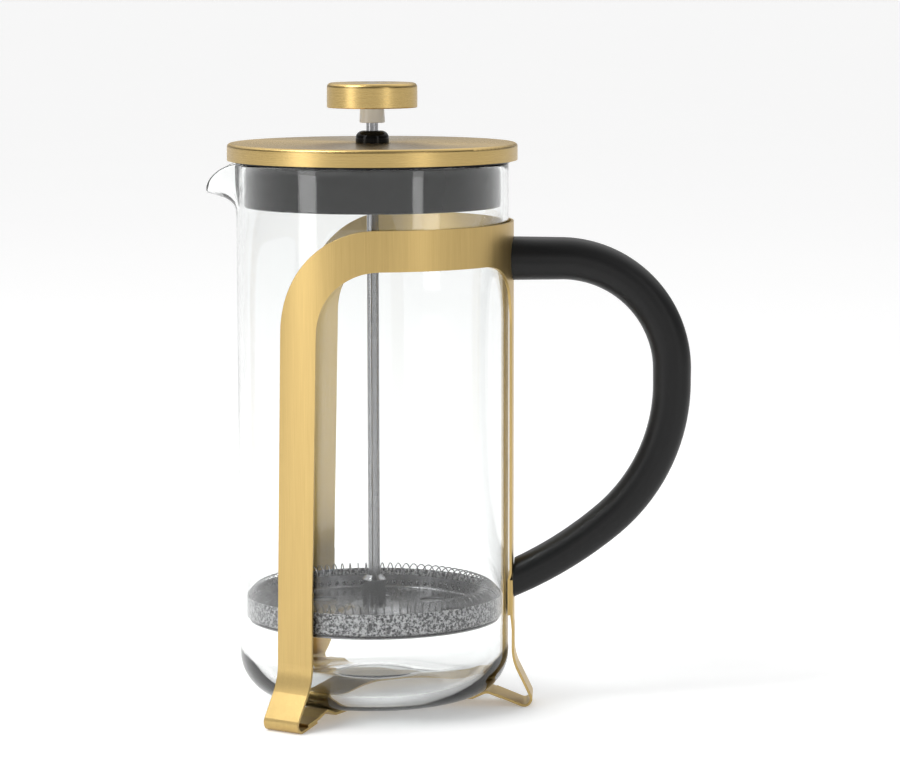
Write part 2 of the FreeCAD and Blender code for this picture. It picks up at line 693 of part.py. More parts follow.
def lip_section(share):
    """The glass wall at one place across the spout, folded out by a share of the full bend."""
    half_wall = size("dim.glass_wall / 2")
    fold_r, fold_z = size("dim.spout_fold_r"), size("dim.spout_fold_z")
    bend = math.radians(size("dim.spout_bend")) * share
    below = size("dim.spout_below")
    length = size("dim.glass_top") - half_wall - fold_z - size("dim.spout_trim") * share

    def at(run):
        """Mid wall and its direction, a run along the wall from where the fold starts."""
        turned = min(max(run / fold_r, 0.0), bend)
        straight = run - turned * fold_r
        radius = size("dim.glass_r") - half_wall + fold_r * (1 - math.cos(turned))
        radius += straight * math.sin(turned)
        height = fold_z + fold_r * math.sin(turned) + straight * math.cos(turned)
        return V(radius, 0, height), V(math.sin(turned), 0, math.cos(turned))

    inner, outer = [], []
    for step in range(LIP_STEPS + 1):
        spot, along = at(-below + (length + below) * step / LIP_STEPS)
        across = V(along.z, 0, -along.x)
        inner.append(spot - across * half_wall)
        outer.append(spot + across * half_wall)
    tip = spot + along * half_wall
    inside, outside = Part.BSplineCurve(), Part.BSplineCurve()
    inside.interpolate(inner)
    outside.interpolate(outer[::-1])
    return Part.Wire([
        inside.toShape(),
        Part.Arc(inner[-1], tip, outer[-1]).toShape(),
        outside.toShape(),
        Part.LineSegment(outer[0], inner[0]).toShape(),
    ])


def glass_beaker():
    """A beaker with a rounded bottom whose rim is folded out into a spout along -X."""
    turned = new_body("beaker_turned")
    inner = "dim.glass_r - dim.glass_wall"
    floor = "dim.glass_low + dim.glass_base"
    revolve(turned, "beaker_wall", [
        ("0", "dim.glass_low + dim.punt"),
        ("dim.punt_flat_r", "dim.glass_low + dim.punt"),
        ("dim.punt_foot_r", "dim.glass_low"),
        ("dim.glass_r", "dim.glass_low", "dim.glass_corner"),
        ("dim.glass_r", "dim.glass_top", "dim.rim_round"),
        (inner, "dim.glass_top", "dim.rim_round"),
        (inner, floor, "dim.glass_corner - dim.glass_wall"),
        ("dim.punt_foot_r", floor),
        ("dim.punt_flat_r", f"{floor} + dim.punt"),
        ("0", f"{floor} + dim.punt"),
    ])
    doc.recompute()
    window = new_sketch(turned, "spout_window", "XY_Plane", lift="dim.spout_fold_z - dim.spout_below")
    reach = "2 * dim.glass_r"
    outline(window, [
        ("0", "0"),
        (f"-{reach} * cos(dim.spout_half)", f"{reach} * sin(dim.spout_half)"),
        (f"-{reach} * cos(dim.spout_half)", f"-{reach} * sin(dim.spout_half)"),
    ])
    feature(turned, "Pocket", "spout_gap", window, Type="ThroughAll", Reversed=True)
    doc.recompute()
    sections = []
    for step in range(LIP_SECTIONS):
        across = 2 * step / (LIP_SECTIONS - 1) - 1
        section = lip_section(math.cos(math.pi / 2 * across) ** 2)
        section.rotate(V(), Z_AXIS, 180 + across * size("dim.spout_half"))
        sections.append(section)
    lip = doc.addObject("Part::Feature", "beaker_lip")
    lip.Shape = Part.makeLoft(sections, True, False)
    beaker = doc.addObject("Part::Fuse", "glass_beaker")
    beaker.Label = "glass_beaker"
    beaker.Base, beaker.Tool = turned, lip
    beaker.Refine = False
    return beaker


# ---------------------------------------------------------------- lid

def lid_cover():
    """The lid's metal cap."""
    body = new_body("lid_cover")
    hole = "dim.stem_r + dim.seat_gap"
    under = "dim.lid_top - dim.lid_sheet"
    revolve(body, "cap", [
        (hole, "dim.lid_top"),
        ("dim.lid_r", "dim.lid_top", "dim.lid_round"),
        ("dim.lid_r", "dim.lid_low"),
        ("dim.lid_r - dim.lid_sheet", "dim.lid_low"),
        ("dim.lid_r - dim.lid_sheet", under, "dim.lid_round - dim.lid_sheet"),
        (hole, under),
    ])
    return body


def lid_insert():
    """The plastic part inside the lid: a plate, a shoulder on the glass rim and a long sleeve."""
    body = new_body("lid_insert")
    hole = "dim.stem_r + dim.seat_gap"
    top = "dim.lid_top - dim.lid_sheet"
    rim = "dim.lid_r - dim.lid_sheet - dim.seat_gap"
    inner = "dim.sleeve_r - dim.sleeve_wall"
    revolve(body, "moulding", [
        (hole, top),
        (rim, top, "dim.lid_round - dim.lid_sheet"),
        (rim, f"{top} - dim.plate_thick"),
        ("dim.seat_r", f"{top} - dim.plate_thick"),
        ("dim.seat_r", "dim.seat_z"),
        ("dim.sleeve_r", "dim.seat_z"),
        ("dim.sleeve_r", "dim.sleeve_low", "dim.sleeve_round"),
        (inner, "dim.sleeve_low", "dim.sleeve_round"),
        (inner, f"{top} - dim.plate_thick", "dim.sleeve_wall"),
        (hole, f"{top} - dim.plate_thick"),
    ])
    return body


def lid_bushing():
    """The domed bushing that guides the rod."""
    body = new_body("lid_bushing")
    bore = "dim.rod_r + dim.guide_gap"
    revolve(body, "dome", [
        (bore, "dim.stem_low"),
        ("dim.stem_r", "dim.stem_low"),
        ("dim.stem_r", "dim.lid_top"),
        ("dim.dome_r", "dim.lid_top"),
        ("dim.dome_r", "dim.dome_top", "dim.dome_r - dim.stem_r"),
        (bore, "dim.dome_top"),
    ])
    return body


def lid_nut():
    """The hexagon nut under the lid that holds the bushing."""
    body = new_body("lid_nut")
    under = "dim.lid_top - dim.lid_sheet - dim.plate_thick"
    face = new_sketch(body, "nut_face", "XY_Plane", lift=f"{under} - dim.nut_thick")
    outline(face, hexagon("dim.nut_r"))
    circle(face, "dim.stem_r + dim.thread_gap")
    feature(body, "Pad", "nut", face, Length="dim:dim.nut_thick")
    return body


# ---------------------------------------------------------------- plunger

def plunger_rod():
    """The rod, threaded at its lower end and reduced where the knob grips it."""
    body = new_body("plunger_rod")
    revolve(body, "turned", [
        ("0", "dim.rod_end"),
        ("dim.rod_thread - dim.tip_bevel", "dim.rod_end"),
        ("dim.rod_thread", "dim.rod_end + dim.tip_bevel"),
        ("dim.rod_thread", "dim.hub_low"),
        ("dim.rod_r", "dim.hub_low"),
        ("dim.rod_r", "dim.rod_top - dim.tip_bevel"),
        ("dim.rod_r - dim.tip_bevel", "dim.rod_top"),
        ("0", "dim.rod_top"),
    ])
    return body


def rod_hub():
    """The collar on the rod that presses the filter down."""
    body = new_body("rod_hub")
    revolve(body, "turned", [
        ("dim.rod_r", "dim.hub_low"),
        ("dim.hub_r - dim.tip_bevel", "dim.hub_low"),
        ("dim.hub_r", "dim.hub_low + dim.tip_bevel"),
        ("dim.hub_r", "dim.hub_top - dim.hub_bevel"),
        ("dim.hub_r - dim.hub_bevel", "dim.hub_top"),
        ("dim.rod_r", "dim.hub_top"),
    ])
    return body


def knob_cap():
    """The knob's metal cap."""
    body = new_body("knob_cap")
    inner = "dim.knob_r - dim.knob_sheet"
    under = "dim.knob_top - dim.knob_sheet"
    revolve(body, "cap", [
        ("0", "dim.knob_top"),
        ("dim.knob_r", "dim.knob_top", "dim.knob_round"),
        ("dim.knob_r", "dim.knob_low", "dim.knob_sheet / 2"),
        (inner, "dim.knob_low"),
        (inner, under, "dim.knob_round - dim.knob_sheet"),
        ("0", under),
    ])
    return body


def knob_collar():
    """The white core of the knob, with the collar that shows under it."""
    body = new_body("knob_collar")
    core = "dim.knob_r - dim.knob_sheet - dim.thread_gap"
    under = "dim.knob_top - dim.knob_sheet - dim.thread_gap"
    revolve(body, "moulding", [
        ("dim.rod_r", "dim.collar_low"),
        ("dim.collar_r", "dim.collar_low", "dim.tip_bevel"),
        ("dim.collar_neck", "dim.knob_low + dim.knob_sheet"),
        (core, "dim.knob_low + dim.knob_sheet"),
        (core, under, "dim.knob_round - dim.knob_sheet"),
        ("0", under),
        ("0", "dim.rod_top"),
        ("dim.rod_r", "dim.rod_top"),
    ])
    return body


# ---------------------------------------------------------------- filter

def ring_of_holes(body, name, radius, distance, count):
    """Drills a hole upward through a plate and repeats it round Z."""
    face = new_sketch(body, name + "_face", "XY_Plane")
    circle(face, radius, distance)
    hole = feature(body, "Pocket", name, face, Type="ThroughAll", Reversed=True)
    return repeat_round_z(body, hole, count)


def repeat_round_z(body, original, count):
    doc.recompute()
    pattern = body.newObject("PartDesign::PolarPattern", original.Name + "_ring")
    pattern.Refine = False
    pattern.Originals = [original]
    pattern.Axis = (next(axis for axis in body.Origin.OriginFeatures if axis.Role == "Z_Axis"), [""])
    pattern.Angle = 360.0
    pattern.Occurrences = count
    body.Tip = pattern
    doc.recompute()
    return pattern


def spiral_plate():
    """The upper plate: a raised middle, drain holes, and a rim drilled for the spring."""
    body = new_body("spiral_pressing")
    hole = "dim.rod_thread + dim.seat_gap"
    top = "dim.spiral_low + dim.plate_sheet"
    rise = "dim.hub_low - dim.lap_gap"
    revolve(body, "pressing", [
        (hole, rise),
        ("dim.hump_r", rise, "dim.press_bend"),
        ("dim.hump_foot", top, "dim.press_bend"),
        ("dim.spiral_r - dim.plate_sheet", top, "dim.rim_bend - dim.plate_sheet"),
        ("dim.spiral_r - dim.plate_sheet", "dim.spiral_high"),
        ("dim.spiral_r", "dim.spiral_high"),
        ("dim.spiral_r", "dim.spiral_low", "dim.rim_bend"),
        ("dim.hump_foot + dim.press_shift", "dim.spiral_low", "dim.press_bend"),
        ("dim.hump_r - dim.press_shift", f"{rise} - dim.plate_sheet", "dim.press_bend"),
        (hole, f"{rise} - dim.plate_sheet"),
    ])
    doc.recompute()
    ring_of_holes(body, "drain", "dim.drain_r", "dim.drain_at", DRAIN_HOLES)
    drill = Part.makeCylinder(
        size("dim.rim_hole_r"), size("dim.plate_sheet * 4"),
        V(size("dim.spiral_r - dim.plate_sheet * 2"), 0, size("dim.rim_hole_z")), V(1, 0, 0),
    )
    drills = doc.addObject("Part::Feature", "rim_drills")
    drills.Shape = Part.makeCompound(round_z(drill, RIM_HOLES))
    plate = doc.addObject("Part::Cut", "spiral_plate")
    plate.Label = "spiral_plate"
    plate.Base, plate.Tool = body, drills
    plate.Refine = False
    return plate


def round_z(shape, count):
    """Copies of a shape, evenly spaced round Z."""
    copies = []
    for number in range(count):
        copy = shape.copy()
        copy.rotate(V(), Z_AXIS, 360 * number / count)
        copies.append(copy)
    return copies


def edge_spring():
    """The coil spring threaded through the rim, as one closed ring of wire to each hole."""
    turn = Part.makeTorus(size("dim.coil_r"), size("dim.wire_r"), V(), V(0, 1, 0))
    turn.translate(V(size("dim.coil_at"), 0, size("dim.coil_z")))
    spring = doc.addObject("Part::Feature", "edge_spring")
    spring.Label = "edge_spring"
    spring.Shape = Part.makeCompound(round_z(turn, RIM_HOLES))
    return spring


def mesh_screen():
    """The woven screen, as a thin dish with a turned-up edge outside the spring."""
    body = new_body("mesh_screen")
    inner = "dim.mesh_r - dim.mesh_thick"
    revolve(body, "dish", [
        ("dim.boss_r + dim.mesh_clear", "dim.mesh_low"),
        ("dim.mesh_r", "dim.mesh_low", "dim.mesh_bend"),
        ("dim.mesh_r", "dim.mesh_high"),
        (inner, "dim.mesh_high"),
        (inner, "dim.mesh_low + dim.mesh_thick", "dim.mesh_bend - dim.mesh_thick"),
        ("dim.boss_r + dim.mesh_clear", "dim.mesh_low + dim.mesh_thick"),
    ])
    return body


def cross_plate():
    """The lower plate, with large openings; it carries the threaded boss."""
    body = new_body("cross_plate")
    revolve(body, "pressing", [
        ("dim.boss_r", "dim.cross_low"),
        ("dim.cross_r", "dim.cross_low", "dim.plate_edge"),
        ("dim.cross_r", "dim.cross_low + dim.plate_sheet", "dim.plate_edge"),
        ("dim.boss_r", "dim.cross_low + dim.plate_sheet"),
    ])
    doc.recompute()
    ring_of_holes(body, "opening", "dim.cross_hole_r", "dim.cross_hole_at", CROSS_HOLES)
    return body


def cross_plate_boss():
    """The threaded boss pressed into the cross plate."""
    body = new_body("cross_plate_boss")
    bore = "dim.rod_thread + dim.guide_gap"
    revolve(body, "turned", [
        (bore, "dim.boss_low"),
        ("dim.boss_r", "dim.boss_low", "dim.tip_bevel"),
        ("dim.boss_r", "dim.boss_top", "dim.tip_bevel"),
        (bore, "dim.boss_top"),
    ])
    return body


# ---------------------------------------------------------------- build, test and write

NODES = [
    frame_band(),
    frame_base(),
    handle_grip(),
    handle_screw("upper"),
    handle_screw("lower"),
    handle_insert("upper"),
    handle_insert("lower"),
    glass_beaker(),
    lid_cover(),
    lid_insert(),
    lid_bushing(),
    lid_nut(),
    plunger_rod(),
    rod_hub(),
    knob_cap(),
    knob_collar(),
    spiral_plate(),
    edge_spring(),
    mesh_screen(),
    cross_plate(),
    cross_plate_boss(),
]
doc.recompute()

for item in doc.Objects:
    if "Invalid" in item.State or "Error" in item.State:
        raise RuntimeError(f"{item.Name} failed: {item.getStatusString()}")
for node in NODES:
    if node.Shape.isNull() or not node.Shape.isValid():
        raise RuntimeError(f"{node.Label} has no valid shape")
    print(f"{node.Label}: {node.Shape.Volume:.1f} mm3 in {len(node.Shape.Solids)} solid(s)")

os.makedirs("parts", exist_ok=True)
for node in NODES:
    node.Shape.exportStep(f"parts/{node.Label}.step")
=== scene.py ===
"""French press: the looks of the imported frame. Metres, Z up, handle along +X, spout along -X."""

import math

import bpy
from mathutils import Matrix, Vector


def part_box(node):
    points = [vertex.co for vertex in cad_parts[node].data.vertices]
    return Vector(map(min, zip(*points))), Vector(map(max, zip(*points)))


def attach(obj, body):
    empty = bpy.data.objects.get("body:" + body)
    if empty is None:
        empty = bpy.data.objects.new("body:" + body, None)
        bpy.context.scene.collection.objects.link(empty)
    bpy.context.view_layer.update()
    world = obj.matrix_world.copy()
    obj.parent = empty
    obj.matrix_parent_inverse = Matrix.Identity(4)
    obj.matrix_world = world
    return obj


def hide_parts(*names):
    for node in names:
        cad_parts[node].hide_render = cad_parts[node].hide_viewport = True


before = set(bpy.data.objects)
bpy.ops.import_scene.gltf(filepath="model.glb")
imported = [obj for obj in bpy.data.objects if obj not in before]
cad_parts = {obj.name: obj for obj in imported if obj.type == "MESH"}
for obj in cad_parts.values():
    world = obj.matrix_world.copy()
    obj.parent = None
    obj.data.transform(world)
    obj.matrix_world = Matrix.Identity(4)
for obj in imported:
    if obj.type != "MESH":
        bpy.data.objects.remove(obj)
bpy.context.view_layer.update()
scene = bpy.context.scene
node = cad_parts
MM = 0.001

# Camera: distance from the beaker's axis, height above the floor, and how it is turned
CAMERA_AZIMUTH = math.radians(-86.3)
CAMERA_DISTANCE = 1.145
CAMERA_HEIGHT = 0.2572
CAMERA_PAN = math.radians(1.36)
CAMERA_TILT = math.radians(7.08)
CAMERA_ROLL = math.radians(-0.1)
CAMERA_LENS = 130.0

# Glass
GLASS_WALL = 2.0 * MM
GLASS_BASE = 4.0 * MM
GLASS_CORNER = 15.0 * MM
SPOUT_HALF = math.radians(17.0)
SPOUT_BEND = math.radians(72.5)
SPOUT_FOLD_R = 5.0 * MM
SPOUT_FOLD_Z = 176.7 * MM
SPOUT_TRIM = 2.3 * MM
PUNT = 2.7 * MM
PUNT_START_R = 0.4 * MM
PUNT_FLAT_R = 14.0 * MM
PUNT_FOOT_R = 32.0 * MM

# Filter
RIM_HOLES = 86
WIRE_R = 0.22 * MM
RIM_MID_R = 42.65 * MM
WEAVE_PITCH = 0.55 * MM
WEAVE_R = 45.0 * MM

# Brushing: the share of the height that counts up a sheet, and the length of noise to a radian round Z
BRUSH_SHARE = 0.012
BRUSH_BEND = 0.6 * MM

# Colours, dark and light of each
GOLD_DARK = (0.43, 0.30, 0.11)
GOLD_LIGHT = (0.63, 0.455, 0.19)
BRASS_DARK = (0.5, 0.35, 0.12)
BRASS_LIGHT = (0.75, 0.55, 0.25)
STEEL_DARK = (0.09, 0.09, 0.093)
STEEL_LIGHT = (0.42, 0.42, 0.43)
# The weave's dark end is painted shade in the gaps between its wires; its light end is the wires' bright
# steel with painted glints.
WEAVE_GAP_SHADE = (0.02, 0.02, 0.022)
WEAVE_WIRE_GLINT = (0.72, 0.72, 0.73)
GLASS_DARK = (0.975, 0.985, 0.982)
GLASS_LIGHT = (0.985, 0.993, 0.99)
FLOOR_DARK = (0.86, 0.86, 0.86)
FLOOR_LIGHT = (0.88, 0.88, 0.88)
FLOOR_GLOW = 0.25


# ---------------------------------------------------------------- meshes

def mesh_piece(name, verts, faces, body, stands_for):
    """A smooth mesh object that rides on a body and stands for a CAD node."""
    mesh = bpy.data.meshes.new(name)
    mesh.from_pydata(verts, [], faces)
    mesh.update()
    for polygon in mesh.polygons:
        polygon.use_smooth = True
    piece = bpy.data.objects.new(name, mesh)
    scene.collection.objects.link(piece)
    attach(piece, body)
    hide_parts(stands_for)
    return piece


def quads_round(rows, columns, closed_rows):
    """Quads between neighbouring rows of points, each row running all the way round."""
    faces = []
    for row in range(rows if closed_rows else rows - 1):
        below, above = row * columns, (row + 1) % rows * columns
        for column in range(columns):
            beside = (column + 1) % columns
            faces.append((below + column, below + beside, above + beside, above + column))
    return faces


def arc(centre, radius, start, end, steps):
    """Points (radius, height) on an arc; angles in degrees from the radial direction."""
    points = []
    for step in range(steps + 1):
        angle = math.radians(start + (end - start) * step / steps)
        points.append((centre[0] + radius * math.cos(angle), centre[1] + radius * math.sin(angle)))
    return points


def folded(radius, height, share, mid_r):
    """Where a point of the straight wall lies once the spout is folded out by a share of its bend."""
    run = height - SPOUT_FOLD_Z
    if run <= 0 or share == 0:
        return radius, height
    bend = SPOUT_BEND * share
    turned = min(run / SPOUT_FOLD_R, bend)
    straight = run - turned * SPOUT_FOLD_R
    out = radius - mid_r
    new_r = mid_r + SPOUT_FOLD_R * (1 - math.cos(turned)) + straight * math.sin(turned)
    new_z = SPOUT_FOLD_Z + SPOUT_FOLD_R * math.sin(turned) + straight * math.cos(turned)
    return new_r + out * math.cos(turned), new_z - out * math.sin(turned)


def punt(base):
    """Points (radius, height) of the raised middle of the bottom, from the centre outward."""
    points = [(PUNT_START_R, base + PUNT)]
    steps = 16
    for step in range(steps + 1):
        share = step / steps
        rise = (1 + math.cos(math.pi * share)) / 2
        points.append((PUNT_FLAT_R + (PUNT_FOOT_R - PUNT_FLAT_R) * share, base + PUNT * rise))
    return points


def beaker():
    """The glass: a closed wall turned round Z, with its rim folded out into the spout."""
    lowest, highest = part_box("glass_beaker")
    outer, base, rim = highest.y, lowest.z, highest.z
    mid_r = outer - GLASS_WALL / 2
    round_r = GLASS_WALL / 2
    floor_r = outer - GLASS_CORNER
    outline = punt(base)
    outline += arc((floor_r, base + GLASS_CORNER), GLASS_CORNER, -90, 0, 24)
    wall_low, wall_high = base + GLASS_CORNER, rim - round_r
    steps = 80
    wall = [wall_low + (wall_high - wall_low) * step / steps for step in range(1, steps)]
    outline += [(outer, height) for height in wall]
    outline += arc((mid_r, wall_high), round_r, 0, 180, 12)
    outline += [(outer - GLASS_WALL, height) for height in reversed(wall)]
    inner_r, inner_low = GLASS_CORNER - GLASS_WALL, base + GLASS_BASE
    outline += arc((floor_r, inner_low + inner_r), inner_r, 0, -90, 24)
    outline += punt(inner_low)[::-1]
    columns = 360
    verts = []
    for radius, height in outline:
        for column in range(columns):
            angle = 2 * math.pi * column / columns
            across = (angle - math.pi) / SPOUT_HALF
            share = math.cos(math.pi / 2 * across) ** 2 if abs(across) < 1 else 0.0
            above = max(height - SPOUT_FOLD_Z, 0.0)
            trimmed = height - SPOUT_TRIM * share * above / (rim - SPOUT_FOLD_Z)
            r, z = folded(radius, trimmed, share, mid_r)
            verts.append((r * math.cos(angle), r * math.sin(angle), z))
    faces = quads_round(len(outline), columns, False)
    last = (len(outline) - 1) * columns
    faces.append(tuple(range(columns))[::-1])
    faces.append(tuple(range(last, last + columns)))
    return mesh_piece("beaker", verts, faces, "beaker", "glass_beaker")


def spring():
    """One coil of wire: a turn to each hole in the filter's rim, passing through it."""
    low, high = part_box("edge_spring")
    turn_r = (high.z - low.z) / 2 - WIRE_R
    centre_z = (high.z + low.z) / 2
    centre_r = high.x - turn_r - WIRE_R
    at_hole = -math.acos((RIM_MID_R - centre_r) / turn_r)
    steps, sides, nudge = 24, 6, 0.01

    def centre_line(turn):
        swing = at_hole + 2 * math.pi * turn
        azimuth = 2 * math.pi * turn / RIM_HOLES
        radius = centre_r + turn_r * math.cos(swing)
        height = centre_z + turn_r * math.sin(swing)
        return Vector((radius * math.cos(azimuth), radius * math.sin(azimuth), height))

    verts = []
    for step in range(steps * RIM_HOLES):
        turn = step / steps
        here = centre_line(turn)
        along = (centre_line(turn + nudge) - centre_line(turn - nudge)).normalized()
        azimuth = 2 * math.pi * turn / RIM_HOLES
        out = here - Vector((centre_r * math.cos(azimuth), centre_r * math.sin(azimuth), centre_z))
        out = (out - along * out.dot(along)).normalized()
        side = along.cross(out)
        for corner in range(sides):
            angle = 2 * math.pi * corner / sides
            verts.append(here + WIRE_R * (out * math.cos(angle) + side * math.sin(angle)))
    faces = quads_round(steps * RIM_HOLES, sides, True)
    return mesh_piece("spring_coil", verts, faces, "filter_stack", "edge_spring")


# ---------------------------------------------------------------- materials

class Surface:
    """A Principled material and short ways to add nodes to it."""

    def __init__(self, name, **sockets):
        self.material = bpy.data.materials.new(name)
        self.material.use_nodes = True
        self.tree = self.material.node_tree
        self.shader = self.tree.nodes["Principled BSDF"]
        for socket, value in sockets.items():
            self.shader.inputs[socket.replace("_", " ")].default_value = value

    def add(self, kind, inputs=(), **settings):
        """A node with its settings made and its inputs linked, or set where they are plain values."""
        made = self.tree.nodes.new("ShaderNode" + kind)
        for key, value in settings.items():
            setattr(made, key, value)
        for socket, value in dict(inputs).items():
            if isinstance(value, bpy.types.NodeSocket):
                self.tree.links.new(value, made.inputs[socket])
            else:
                made.inputs[socket].default_value = value
        return made

    def math(self, operation, a, b=0.0):
        return self.add("Math", {0: a, 1: b}, operation=operation).outputs[0]

    def link(self, output, socket):
        self.tree.links.new(output, self.shader.inputs[socket])

    def place(self):
        """The point on the piece, in metres."""
        return self.add("TexCoord").outputs["Object"]

    def noise(self, vector, scale, detail=3.0, roughness=0.5):
        inputs = {"Vector": vector, "Scale": scale, "Detail": detail, "Roughness": roughness}
        return self.add("TexNoise", inputs).outputs["Fac"]

    def span(self, value, low, high):
        """A value clipped to 0 to 1 and spread between low and high."""
        ends = {"Value": value, "To Min": low, "To Max": high}
        return self.add("MapRange", ends).outputs["Result"]

    def tint(self, share, first, second):
        """A colour between two, by a value from 0 to 1."""
        colours = {0: share, 6: (*first, 1.0), 7: (*second, 1.0)}
        return self.add("Mix", colours, data_type="RGBA").outputs[2]

    def bump(self, height, distance, normal=None):
        inputs = {"Height": height, "Distance": distance, "Strength": 1.0}
        if normal:
            inputs["Normal"] = normal
        return self.add("Bump", inputs).outputs["Normal"]


def brush_marks(surface, direction):
    """Fine streaks along the brushing: up the sheet, or round Z."""
    place = surface.place()
    if direction == "upright":
        stretched = surface.add("VectorMath", {0: place, 1: (1.0, 1.0, BRUSH_SHARE)}, operation="MULTIPLY")
        return stretched.outputs[0]
    parts = surface.add("SeparateXYZ", {0: place}).outputs
    flat = surface.add("CombineXYZ", {0: parts[0], 1: parts[1]}).outputs[0]
    radius = surface.add("VectorMath", {0: flat}, operation="LENGTH").outputs["Value"]
    azimuth = surface.math("ARCTAN2", parts[1], parts[0])
    bent = surface.math("MULTIPLY", azimuth, BRUSH_BEND)
    return surface.add("CombineXYZ", {0: radius, 1: parts[2], 2: bent}).outputs[0]


def brushed(name, direction, dark, light, roughness, bump, anisotropy, edge=0.0):
    """Brushed metal: streaks in colour, roughness and height, on an anisotropic shader."""
    surface = Surface(name, Metallic=1.0, Anisotropic=anisotropy)
    streaks = brush_marks(surface, direction)
    fine = surface.math("MULTIPLY", surface.noise(streaks, 4200.0, 2.0, 0.6), 0.7)
    broad = surface.math("MULTIPLY", surface.noise(streaks, 700.0, 2.0), 0.3)
    both = surface.math("ADD", fine, broad)
    surface.link(surface.tint(both, dark, light), "Base Color")
    surface.link(surface.span(both, *roughness), "Roughness")
    normal = None
    if edge:
        normal = surface.add("Bevel", {"Radius": edge}).outputs["Normal"]
    surface.link(surface.bump(both, bump, normal), "Normal")
    if anisotropy:
        surface.link(surface.add("Tangent", direction_type="RADIAL", axis="Z").outputs[0], "Tangent")
    return surface.material


def moulded(name, colour, roughness, grain, grain_scale, edge=0.0, shine=0.5):
    """Moulded plastic: a fine grain, and a roughness that varies slowly."""
    surface = Surface(name, Specular_IOR_Level=shine)
    place = surface.place()
    cloud = surface.noise(place, 60.0)
    surface.link(surface.tint(cloud, colour, tuple(c * 1.25 for c in colour)), "Base Color")
    surface.link(surface.span(cloud, *roughness), "Roughness")
    normal = surface.add("Bevel", {"Radius": edge}).outputs["Normal"] if edge else None
    surface.link(surface.bump(surface.noise(place, grain_scale, 2.0), grain, normal), "Normal")
    return surface.material


def woven(name):
    """Fine steel weave: crossed wires with painted shade in the gaps between them, and painted glints on
    them.
    """
    surface = Surface(name, Metallic=1.0)
    parts = surface.add("SeparateXYZ", {0: surface.place()}).outputs
    azimuth = surface.math("ARCTAN2", parts[1], parts[0])
    rounds = surface.math("MULTIPLY", azimuth, WEAVE_R)
    flat = surface.add("CombineXYZ", {0: parts[0], 1: parts[1]}).outputs[0]
    radius = surface.add("VectorMath", {0: flat}, operation="LENGTH").outputs["Value"]
    climb = surface.math("ADD", radius, parts[2])

    def wires(value):
        wave = surface.math("SINE", surface.math("MULTIPLY", value, 2 * math.pi / WEAVE_PITCH))
        return surface.span(wave, 0.0, 1.0)

    # Painted shade: the colour goes dark in the gaps between the crossed wires.
    weave = surface.math("MULTIPLY", wires(rounds), wires(climb))
    # Painted glints: bright specks of highlight from a fine noise, which also sets the roughness.
    speckle = surface.noise(surface.place(), 1000.0, 3.0, 0.75)
    glints = surface.add("MapRange", {"Value": speckle, "From Min": 0.44, "From Max": 0.58}).outputs["Result"]
    both = surface.math("ADD", surface.math("MULTIPLY", weave, 0.35), surface.math("MULTIPLY", glints, 0.65))
    # The colour runs from the painted gap shade to the wires' bright steel with painted glints.
    surface.link(surface.tint(both, WEAVE_GAP_SHADE, WEAVE_WIRE_GLINT), "Base Color")
    surface.link(surface.span(speckle, 0.25, 0.5), "Roughness")
    surface.link(surface.bump(both, 0.15 * MM), "Normal")
    return surface.material


def clear_glass(name):
    """Clear glass with a faint waviness; lamps shine through it."""
    surface = Surface(name, Roughness=0.0, IOR=1.47, Transmission_Weight=1.0)
    place = surface.place()
    wave = surface.noise(place, 25.0, 1.0)
    surface.link(surface.tint(wave, GLASS_DARK, GLASS_LIGHT), "Base Color")
    surface.link(surface.bump(wave, 0.05 * MM), "Normal")
    through = surface.add("BsdfTransparent", {"Color": (0.93, 0.95, 0.95, 1.0)})
    path = surface.add("LightPath")
    mix = surface.add("MixShader", {0: path.outputs["Is Shadow Ray"]})
    surface.tree.links.new(surface.shader.outputs[0], mix.inputs[1])
    surface.tree.links.new(through.outputs[0], mix.inputs[2])
    surface.tree.links.new(mix.outputs[0], surface.tree.nodes["Material Output"].inputs[0])
    return surface.material


def dress(piece, material):
    piece.data.materials.clear()
    piece.data.materials.append(material)


gold_sheet = brushed(
    "gold_sheet", "upright", GOLD_DARK, GOLD_LIGHT, (0.26, 0.42), 0.012 * MM, 0.5, edge=0.25 * MM
)
gold_turned = brushed(
    "gold_turned", "round", GOLD_DARK, GOLD_LIGHT, (0.2, 0.34), 0.012 * MM, 0.75, edge=0.3 * MM
)
steel_turned = brushed(
    "steel_turned", "round", STEEL_DARK, STEEL_LIGHT, (0.1, 0.2), 0.003 * MM, 0.0, edge=0.15 * MM
)
steel_pressed = brushed("steel_pressed", "round", STEEL_DARK, STEEL_LIGHT, (0.16, 0.3), 0.006 * MM, 0.4)
brass_turned = brushed("brass_turned", "round", BRASS_DARK, BRASS_LIGHT, (0.2, 0.35), 0.004 * MM, 0.0)
black_grip = moulded("black_grip", (0.006, 0.006, 0.0062), (0.34, 0.46), 0.03 * MM, 2600.0, shine=0.28)
black_gloss = moulded(
    "black_gloss", (0.004, 0.004, 0.004), (0.08, 0.16), 0.003 * MM, 400.0, edge=0.2 * MM, shine=0.15
)
white_satin = moulded("white_satin", (0.72, 0.73, 0.74), (0.3, 0.42), 0.003 * MM, 1500.0, edge=0.2 * MM)

for names, material in {
    ("frame_band", "frame_base"): gold_sheet,
    ("lid_cover", "knob_cap"): gold_turned,
    ("plunger_rod", "rod_hub", "lid_nut", "cross_plate_boss"): steel_turned,
    ("handle_screw_upper", "handle_screw_lower"): steel_turned,
    ("spiral_plate", "cross_plate"): steel_pressed,
    ("handle_insert_upper", "handle_insert_lower"): brass_turned,
    ("handle_grip",): black_grip,
    ("lid_insert", "lid_bushing"): black_gloss,
    ("knob_collar",): white_satin,
    ("mesh_screen",): woven("steel_weave"),
}.items():
    for name in names:
        dress(node[name], material)

dress(beaker(), clear_glass("clear_glass"))
dress(spring(), steel_turned)


# ---------------------------------------------------------------- floor, light and camera

